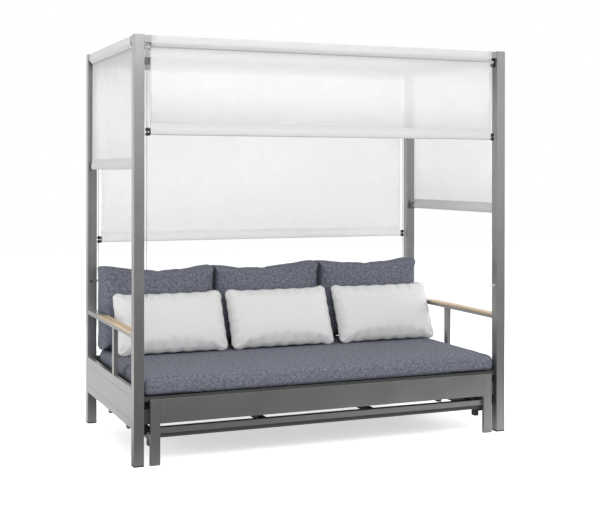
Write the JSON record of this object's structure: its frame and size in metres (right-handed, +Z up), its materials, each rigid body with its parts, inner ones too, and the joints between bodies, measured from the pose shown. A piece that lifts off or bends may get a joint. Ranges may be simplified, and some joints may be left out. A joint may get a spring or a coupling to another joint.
{
  "type": "outdoor daybed with canopy",
  "caption": "Outdoor daybed with a four-post canopy, roller blinds on guide wires, a slatted pull-out seat front, teak armrests, loose seat and back cushions and pillows.",
  "frame": {"origin": "on the floor, under the middle of the frame", "axes": "+Z up, -Y towards the front, +X towards the right seen from the front"},
  "size_m": [2.095, 1.104, 2.1],
  "materials": {
    "frame_metal": "satin grey powder coat",
    "dark_metal": "satin dark grey powder coat",
    "foot_plastic": "matt",
    "blind_fittings": "satin",
    "white_cloth": "thin translucent woven",
    "hem_cloth": "woven hem over a bar",
    "teak": "oiled",
    "blue_weave": "woven melange",
    "pale_weave": "woven"
  },
  "bodies": {
    "frame": {"post_front_left": "frame_metal", "post_front_right": "frame_metal", "post_rear_left": "frame_metal", "post_rear_right": "frame_metal", "foot_front_left": "foot_plastic", "foot_front_right": "foot_plastic", "foot_rear_left": "foot_plastic", "foot_rear_right": "foot_plastic", "top_rail_front": "frame_metal", "top_rail_back": "frame_metal", "top_rail_left": "frame_metal", "top_rail_right": "frame_metal", "roof_cloth": "white_cloth", "front_blind_cloth": "white_cloth", "back_blind_cloth": "white_cloth", "left_blind_cloth": "white_cloth", "right_blind_cloth": "white_cloth", "front_blind_guide_left": "blind_fittings", "front_blind_guide_right": "blind_fittings", "back_blind_guide_left": "blind_fittings", "back_blind_guide_right": "blind_fittings", "left_blind_guide_front": "blind_fittings", "left_blind_guide_rear": "blind_fittings", "right_blind_guide_front": "blind_fittings", "right_blind_guide_rear": "blind_fittings", "side_panel_left": "frame_metal", "side_panel_right": "frame_metal", "arm_frame_left": "frame_metal", "arm_frame_right": "frame_metal", "arm_board_left": "teak", "arm_board_right": "teak", "guide_channel_left": "frame_metal", "guide_channel_right": "frame_metal", "rear_panel": "frame_metal", "backrest_rail": "frame_metal", "fixed_slat_frame": "dark_metal", "seat_cushion": "blue_weave", "back_cushion_left": "blue_weave", "back_cushion_middle": "blue_weave", "back_cushion_right": "blue_weave", "pillow_left": "pale_weave", "pillow_middle": "pale_weave", "pillow_right": "pale_weave"},
    "pull_out": {"front_apron": "frame_metal", "front_leg_left": "frame_metal", "front_leg_right": "frame_metal", "sliding_slat_frame": "dark_metal", "lower_cross_rail": "dark_metal", "lower_outer_bar_left": "dark_metal", "lower_outer_bar_right": "dark_metal", "lower_inner_bar_left": "dark_metal", "lower_inner_bar_right": "dark_metal"},
    "front_bar": {"front_blind_bar": "hem_cloth"},
    "front_roller": {"front_blind_roller": "white_cloth"},
    "back_bar": {"back_blind_bar": "hem_cloth"},
    "back_roller": {"back_blind_roller": "white_cloth"},
    "left_bar": {"left_blind_bar": "hem_cloth"},
    "left_roller": {"left_blind_roller": "white_cloth"},
    "right_bar": {"right_blind_bar": "hem_cloth"},
    "right_roller": {"right_blind_roller": "white_cloth"}
  },
  "joints": [
    {"name": "seat_pull_out", "type": "slide", "parent": "frame", "child": "pull_out", "axis": [0, -1, 0], "range_m": [0, 0.56]},
    {"name": "front_blind_draw", "type": "slide", "parent": "frame", "child": "front_bar", "axis": [0, 0, 1], "range_m": [-0.78, 0.36], "deforming": ["front_blind_cloth"]},
    {"name": "front_roller_turn", "type": "hinge", "parent": "frame", "child": "front_roller", "pos_m": [0, -0.5165, 2.042], "axis": [-1, 0, 0], "range_deg": [-2635, 1220]},
    {"name": "back_blind_draw", "type": "slide", "parent": "frame", "child": "back_bar", "axis": [0, 0, 1], "range_m": [-0.2, 0.945], "deforming": ["back_blind_cloth"]},
    {"name": "back_roller_turn", "type": "hinge", "parent": "frame", "child": "back_roller", "pos_m": [0, 0.5165, 2.042], "axis": [1, 0, 0], "range_deg": [-680, 3190]},
    {"name": "left_blind_draw", "type": "slide", "parent": "frame", "child": "left_bar", "axis": [0, 0, 1], "range_m": [-0.615, 0.53], "deforming": ["left_blind_cloth"]},
    {"name": "left_roller_turn", "type": "hinge", "parent": "frame", "child": "left_roller", "pos_m": [-1.012, 0, 2.042], "axis": [0, 1, 0], "range_deg": [-2080, 1790]},
    {"name": "right_blind_draw", "type": "slide", "parent": "frame", "child": "right_bar", "axis": [0, 0, 1], "range_m": [-0.38, 0.77], "deforming": ["right_blind_cloth"]},
    {"name": "right_roller_turn", "type": "hinge", "parent": "frame", "child": "right_roller", "pos_m": [1.012, 0, 2.042], "axis": [0, -1, 0], "range_deg": [-1290, 2600]}
  ],
  "couplings": [
    {"joint": "front_roller_turn", "follows": "front_blind_draw", "rad_per_m": 58.82},
    {"joint": "back_roller_turn", "follows": "back_blind_draw", "rad_per_m": 58.82},
    {"joint": "left_roller_turn", "follows": "left_blind_draw", "rad_per_m": 58.82},
    {"joint": "right_roller_turn", "follows": "right_blind_draw", "rad_per_m": 58.82}
  ]
}
